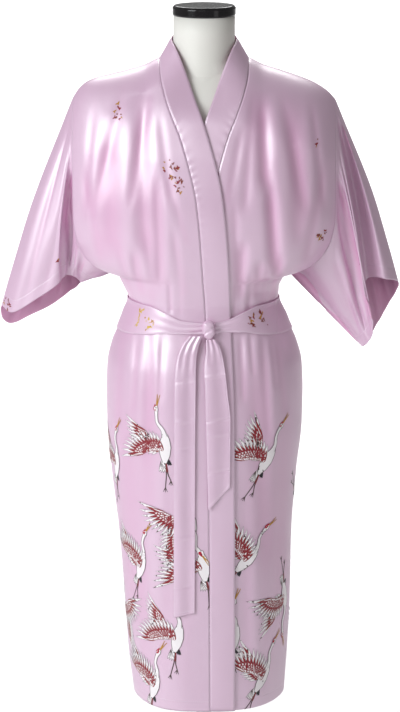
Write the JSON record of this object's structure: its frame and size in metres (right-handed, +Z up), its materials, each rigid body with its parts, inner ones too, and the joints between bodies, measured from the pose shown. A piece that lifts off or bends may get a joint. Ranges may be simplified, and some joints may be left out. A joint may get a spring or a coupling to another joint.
{
  "type": "kimono robe on a dress form",
  "caption": "Short-sleeved satin wrap robe with a long neck band and a knotted sash, hanging open at the hem on a limbless dress form with a stand.",
  "frame": {"origin": "middle of the stand base's underside", "axes": "+Z up from the stand to the neck, -Y out of the robe's front, +X towards the wearer's left"},
  "size_m": [0.6875, 0.32, 1.5493],
  "materials": {
    "satin": "satin",
    "form_skin": "matte",
    "cap": "gloss",
    "stand_metal": "brushed"
  },
  "bodies": {
    "root": {"back": "satin", "front_right": "satin", "front_left": "satin", "band_right": "satin", "band_left": "satin", "sleeve_right": "satin", "sleeve_left": "satin", "sash": "satin", "tail_right": "satin", "tail_left": "satin", "knot": "satin", "form": "form_skin", "neck_cap": "cap", "pole": "stand_metal", "stand_base": "stand_metal"}
  },
  "joints": []
}
